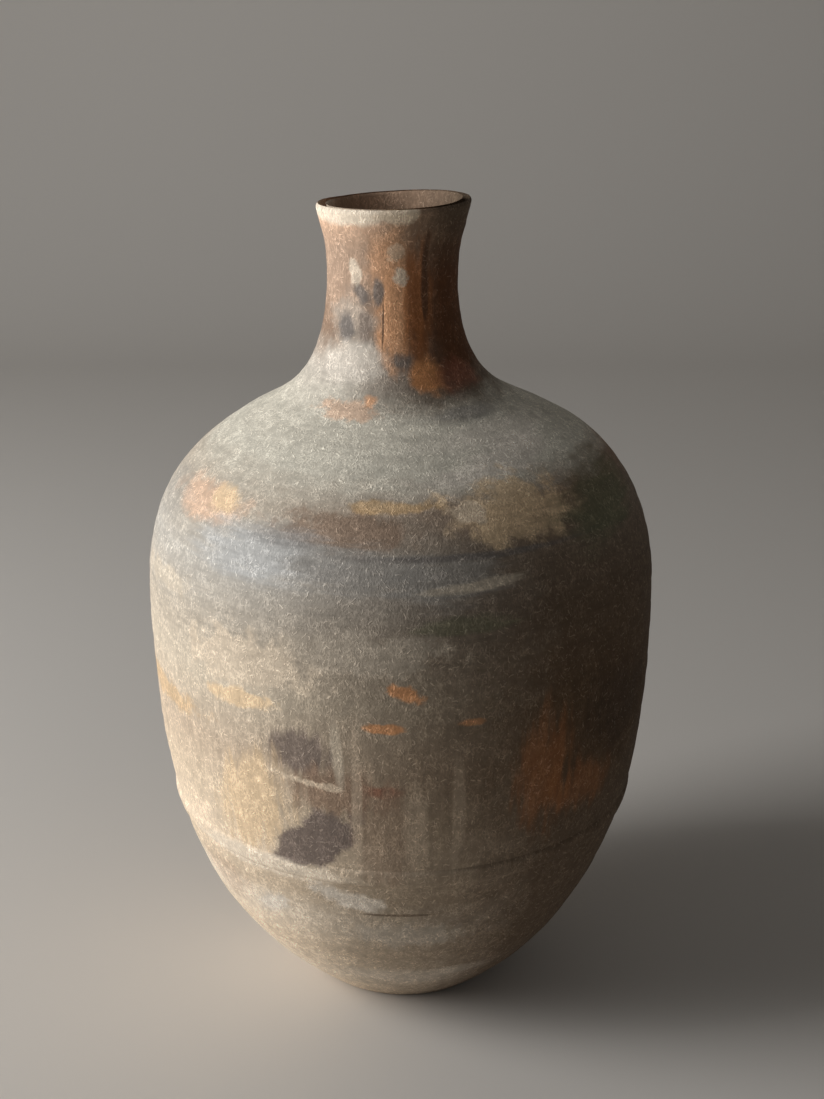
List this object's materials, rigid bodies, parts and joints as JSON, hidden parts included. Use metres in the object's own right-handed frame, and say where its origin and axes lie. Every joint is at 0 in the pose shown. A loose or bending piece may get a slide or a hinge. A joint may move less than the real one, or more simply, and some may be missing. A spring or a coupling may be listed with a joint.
{
  "type": "clay water jar",
  "caption": "Tall round-bellied clay water jar with a flat base, a narrow waisted neck and an open rounded rim, built from luted wall sections.",
  "frame": {"origin": "centre of the flat underside on which the jar stands", "axes": "+Z is the jar's axis, from the base up to the mouth; the jar is round, so X and Y are free, and the picture looks along +Y"},
  "size_m": [0.298, 0.298, 0.48],
  "materials": {
    "base_clay": "matte",
    "bowl_clay": "matte",
    "band_clay": "matte",
    "belly_clay": "matte",
    "shoulder_clay": "matte",
    "neck_clay": "matte",
    "rim_clay": "matte",
    "luting_slip": "matte",
    "inside_clay": "matte"
  },
  "bodies": {
    "root": {"base_dish": "base_clay", "base_joint_slip": "luting_slip", "base_inner_coil": "inside_clay", "lower_bowl": "bowl_clay", "seam_joint_slip": "luting_slip", "seam_band": "band_clay", "seam_inner_coil": "inside_clay", "belly_wall": "belly_clay", "shoulder_joint_slip": "luting_slip", "shoulder_inner_coil": "inside_clay", "shoulder_dome": "shoulder_clay", "neck_joint_slip": "luting_slip", "neck_root_coil": "shoulder_clay", "neck_collar": "neck_clay", "rim_joint_slip": "luting_slip", "rim_lip": "rim_clay"}
  },
  "joints": []
}
